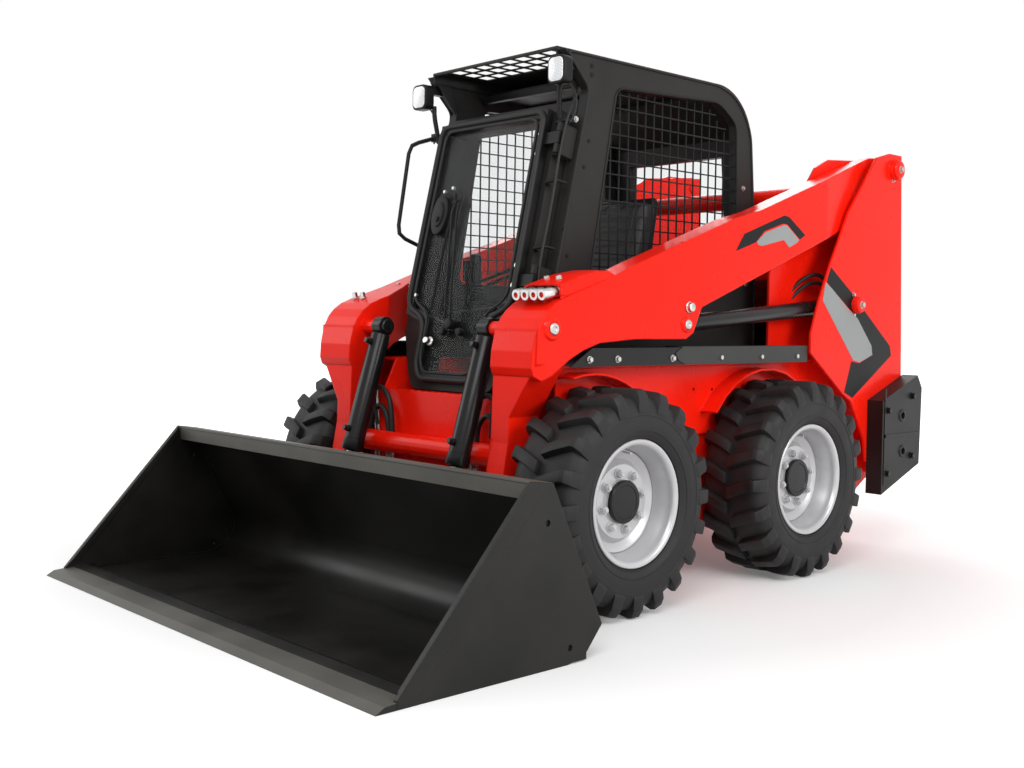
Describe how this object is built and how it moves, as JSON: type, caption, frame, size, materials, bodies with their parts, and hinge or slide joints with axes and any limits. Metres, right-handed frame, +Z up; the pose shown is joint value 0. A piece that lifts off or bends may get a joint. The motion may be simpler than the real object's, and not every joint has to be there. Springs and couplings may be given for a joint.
{
  "type": "skid steer loader",
  "caption": "Compact wheeled loader with a caged cab, a glazed door, swinging lift arms and a wide black bucket lowered to the ground",
  "frame": {"origin": "on the ground, below the middle of the overall length and width", "axes": "-Y is the machine's front, +X the operator's left, +Z up"},
  "size_m": [2.15, 3.48, 2.061],
  "materials": {
    "red_paint": "gloss enamel",
    "black_paint": "satin powder coat",
    "dark_grey_paint": "satin enamel",
    "silver_paint": "satin enamel",
    "tyre_rubber": "moulded rubber",
    "rod_chrome": "hard chrome",
    "clear_glass": "clear",
    "black_plastic": "grained",
    "engine_iron": "as cast"
  },
  "bodies": {
    "frame": {"chassis": "red_paint", "step_rails": "dark_grey_paint", "upright_left": "red_paint", "upright_right": "red_paint", "axle_housings": "dark_grey_paint", "engine": "engine_iron", "counterweights": "dark_grey_paint", "cab_side_left": "black_paint", "cab_side_right": "black_paint", "window_mesh_left": "black_paint", "window_mesh_right": "black_paint", "roof": "black_paint", "cab_rear": "black_paint", "rear_glass": "clear_glass", "grab_handle": "black_paint", "cab_front": "black_paint", "work_lamps": "black_paint", "seat": "black_plastic", "seat_base": "dark_grey_paint", "controls": "black_plastic"},
    "arms": {"arm_left": "red_paint", "arm_right": "red_paint", "arm_cross_tubes": "red_paint"},
    "bucket_group": {"coupler": "black_paint", "bucket": "black_paint"},
    "door": {"door_frame": "black_paint", "door_glass": "clear_glass"},
    "hood_body": {"hood": "red_paint"},
    "engine_door_body": {"engine_door": "black_paint"},
    "wheel_body_front_left": {"tyre_front_left": "tyre_rubber", "wheel_front_left": "silver_paint"},
    "wheel_body_front_right": {"tyre_front_right": "tyre_rubber", "wheel_front_right": "silver_paint"},
    "wheel_body_rear_left": {"tyre_rear_left": "tyre_rubber", "wheel_rear_left": "silver_paint"},
    "wheel_body_rear_right": {"tyre_rear_right": "tyre_rubber", "wheel_rear_right": "silver_paint"},
    "lift_barrel_body_left": {"lift_barrel_left": "dark_grey_paint"},
    "lift_rod_body_left": {"lift_rod_left": "rod_chrome"},
    "tilt_barrel_body_left": {"tilt_barrel_left": "dark_grey_paint"},
    "tilt_rod_body_left": {"tilt_rod_left": "rod_chrome"},
    "lift_barrel_body_right": {"lift_barrel_right": "dark_grey_paint"},
    "lift_rod_body_right": {"lift_rod_right": "rod_chrome"},
    "tilt_barrel_body_right": {"tilt_barrel_right": "dark_grey_paint"},
    "tilt_rod_body_right": {"tilt_rod_right": "rod_chrome"}
  },
  "joints": [
    {"name": "lift", "type": "hinge", "parent": "frame", "child": "arms", "pos_m": [0, 1.577, 1.757], "axis": [-1, 0, 0], "range_deg": [0, 61]},
    {"name": "bucket_tilt", "type": "hinge", "parent": "arms", "child": "bucket_group", "pos_m": [0, -0.778, 0.15], "axis": [1, 0, 0], "range_deg": [-28, 100]},
    {"name": "roll_front_left", "type": "hinge", "parent": "frame", "child": "wheel_body_front_left", "pos_m": [0.714, -0.443, 0.4], "axis": [1, 0, 0], "continuous": true},
    {"name": "roll_front_right", "type": "hinge", "parent": "frame", "child": "wheel_body_front_right", "pos_m": [-0.714, -0.443, 0.4], "axis": [1, 0, 0], "continuous": true},
    {"name": "roll_rear_left", "type": "hinge", "parent": "frame", "child": "wheel_body_rear_left", "pos_m": [0.714, 0.627, 0.4], "axis": [1, 0, 0], "continuous": true},
    {"name": "roll_rear_right", "type": "hinge", "parent": "frame", "child": "wheel_body_rear_right", "pos_m": [-0.714, 0.627, 0.4], "axis": [1, 0, 0], "continuous": true},
    {"name": "lift_swing_left", "type": "hinge", "parent": "frame", "child": "lift_barrel_body_left", "pos_m": [0.59, 1.266, 1.121], "axis": [-1, 0, 0], "range_deg": [0, 62]},
    {"name": "lift_rod_slide_left", "type": "slide", "parent": "lift_barrel_body_left", "child": "lift_rod_body_left", "axis": [0, -0.9966, -0.0822], "range_m": [0, 0.73]},
    {"name": "tilt_swing_left", "type": "hinge", "parent": "arms", "child": "tilt_barrel_body_left", "pos_m": [0.318, -0.672, 0.998], "axis": [-1, 0, 0], "range_deg": [-1.5, 5]},
    {"name": "tilt_rod_slide_left", "type": "slide", "parent": "tilt_barrel_body_left", "child": "tilt_rod_body_left", "axis": [0, -0.285, -0.9585], "range_m": [-0.1, 0.35]},
    {"name": "lift_swing_right", "type": "hinge", "parent": "frame", "child": "lift_barrel_body_right", "pos_m": [-0.59, 1.266, 1.121], "axis": [-1, 0, 0], "range_deg": [0, 62]},
    {"name": "lift_rod_slide_right", "type": "slide", "parent": "lift_barrel_body_right", "child": "lift_rod_body_right", "axis": [0, -0.9966, -0.0822], "range_m": [0, 0.73]},
    {"name": "tilt_swing_right", "type": "hinge", "parent": "arms", "child": "tilt_barrel_body_right", "pos_m": [-0.318, -0.672, 0.998], "axis": [-1, 0, 0], "range_deg": [-1.5, 5]},
    {"name": "tilt_rod_slide_right", "type": "slide", "parent": "tilt_barrel_body_right", "child": "tilt_rod_body_right", "axis": [0, -0.285, -0.9585], "range_m": [-0.1, 0.35]},
    {"name": "cab_door", "type": "hinge", "parent": "frame", "child": "door", "pos_m": [0.378, -0.4744, 1.34499], "axis": [0, 0.2267, 0.974], "range_deg": [0, 90]},
    {"name": "hood_hinge", "type": "hinge", "parent": "frame", "child": "hood_body", "pos_m": [0, 0.876, 1.284], "axis": [1, 0, 0], "range_deg": [0, 45]},
    {"name": "engine_door_hinge", "type": "hinge", "parent": "frame", "child": "engine_door_body", "pos_m": [0.49, 1.716, 0.84], "axis": [0, 0, -1], "range_deg": [0, 90]}
  ],
  "couplings": [
    {"joint": "lift_swing_left", "follows": "lift", "ratio": 1.0048},
    {"joint": "lift_rod_slide_left", "follows": "lift", "m_per_rad": 0.676},
    {"joint": "tilt_swing_left", "follows": "bucket_tilt", "ratio": 0.04},
    {"joint": "tilt_rod_slide_left", "follows": "bucket_tilt", "m_per_rad": 0.1974},
    {"joint": "lift_swing_right", "follows": "lift", "ratio": 1.0048},
    {"joint": "lift_rod_slide_right", "follows": "lift", "m_per_rad": 0.676},
    {"joint": "tilt_swing_right", "follows": "bucket_tilt", "ratio": 0.04},
    {"joint": "tilt_rod_slide_right", "follows": "bucket_tilt", "m_per_rad": 0.1974}
  ]
}
